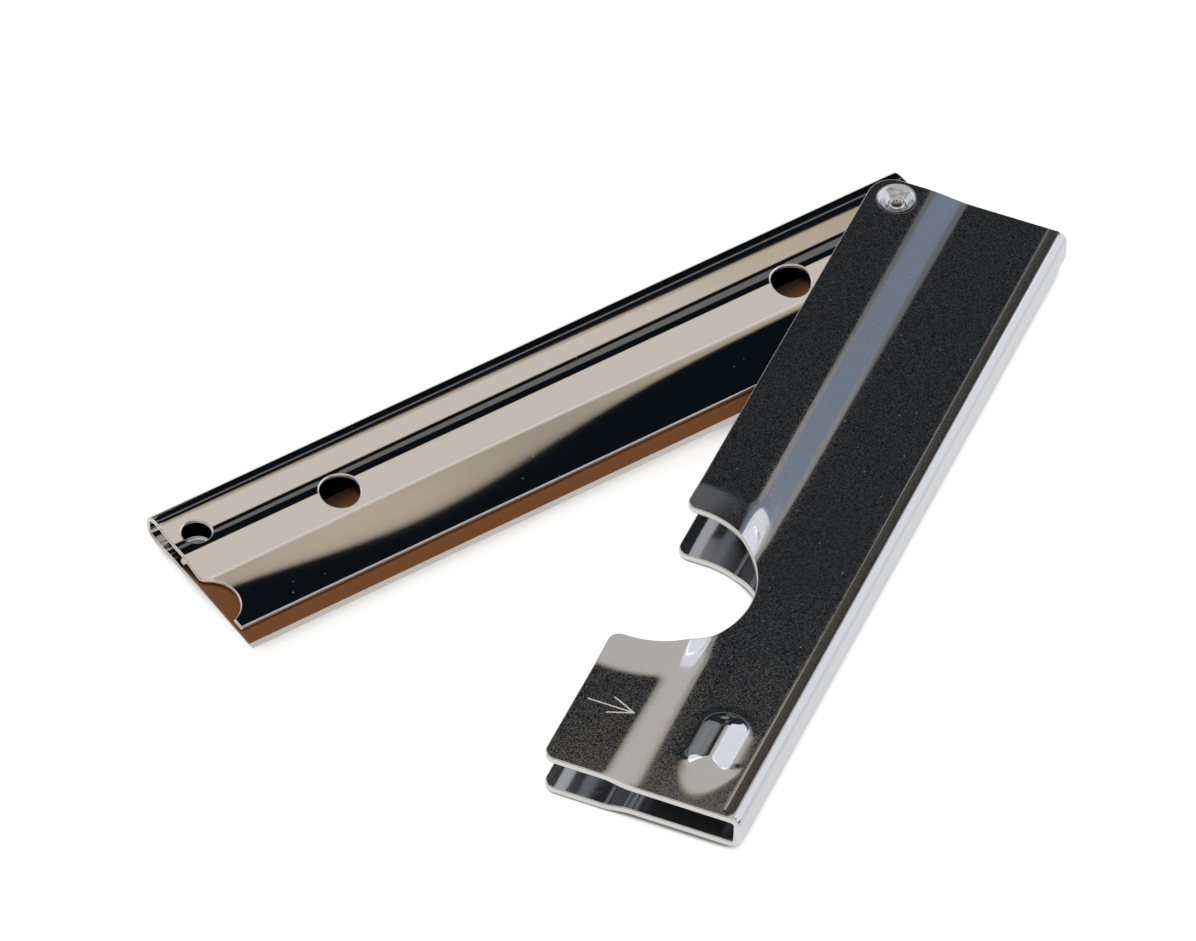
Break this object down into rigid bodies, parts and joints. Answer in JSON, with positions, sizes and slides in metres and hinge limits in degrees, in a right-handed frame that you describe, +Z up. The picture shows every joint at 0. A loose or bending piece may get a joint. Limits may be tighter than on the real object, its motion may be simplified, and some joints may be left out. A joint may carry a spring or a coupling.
{
  "type": "folding window scraper",
  "caption": "Folding sheet-steel window scraper: a channel cover that serves as handle, a riveted swinging blade holder and a slide-in blade with a ground edge.",
  "frame": {"origin": "on the cover's rest face, at mid-length of the cover and on the pivot's line", "axes": "+X from the pivot end to the open end of the cover, +Y towards the cover's closed wall, +Z up along the hinge axis"},
  "size_m": [0.0997, 0.0772, 0.0058],
  "materials": {
    "cover_steel": "bright nickel plating",
    "rivet_steel": "bright nickel plating",
    "holder_steel": "bright nickel plating",
    "blade_steel": "brown tempered, with a bright ground edge"
  },
  "bodies": {
    "cover_body": {"cover": "cover_steel", "rivet": "rivet_steel"},
    "holder_body": {"holder": "holder_steel"},
    "blade_body": {"blade": "blade_steel"}
  },
  "joints": [
    {"name": "holder_swing", "type": "hinge", "parent": "cover_body", "child": "holder_body", "pos_m": [-0.0456, 0, 0.00272], "axis": [0, 0, 1], "range_deg": [-146.5, 33.5]},
    {"name": "blade_change", "type": "slide", "parent": "holder_body", "child": "blade_body", "axis": [0.8339, -0.5519, 0], "range_m": [0, 0.105]}
  ]
}
